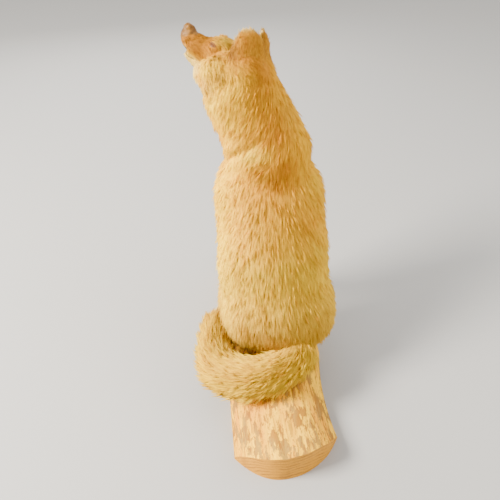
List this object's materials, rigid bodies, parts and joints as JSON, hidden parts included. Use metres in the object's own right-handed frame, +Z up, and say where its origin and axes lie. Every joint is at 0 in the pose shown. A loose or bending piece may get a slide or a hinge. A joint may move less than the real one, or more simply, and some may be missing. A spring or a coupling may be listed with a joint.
{
  "type": "taxidermy fox",
  "caption": "Mounted fox seated on a debarked split log, head turned to its left and tail curled round its hip, for display as a still figure.",
  "frame": {"origin": "on the log's flat underside, below the fox", "axes": "+Z up from the log's underside; the fox faces -Y along the log and its own left side is +X"},
  "size_m": [0.2639, 0.5526, 0.5934],
  "materials": {
    "wood": "smooth debarked wood with grey-brown cambium streaks, satin",
    "coat": "short soft golden tan fur, matte, paler on the cheeks, throat and chest",
    "ear_coat": "very short darker fur with a pale rim",
    "eye": "dark amber glass eye, glossy",
    "bare_skin": "dried bare skin of the muzzle tip and eyelids, pinkish brown, satin",
    "claw": "dark horn"
  },
  "bodies": {
    "root": {"log_base": "wood", "jaw": "coat", "muzzle": "coat", "head": "coat", "neck": "coat", "trunk": "coat", "forepaw_left": "coat", "forepaw_right": "coat", "foreleg_left": "coat", "foreleg_right": "coat", "hindfoot_left": "coat", "hindfoot_right": "coat", "hindleg_left": "coat", "hindleg_right": "coat", "tail_root": "coat", "tail_middle": "coat", "tail_bend": "coat", "tail_end": "coat", "ear_left": "ear_coat", "ear_right": "ear_coat", "eye_left": "eye", "eye_right": "eye"}
  },
  "joints": []
}
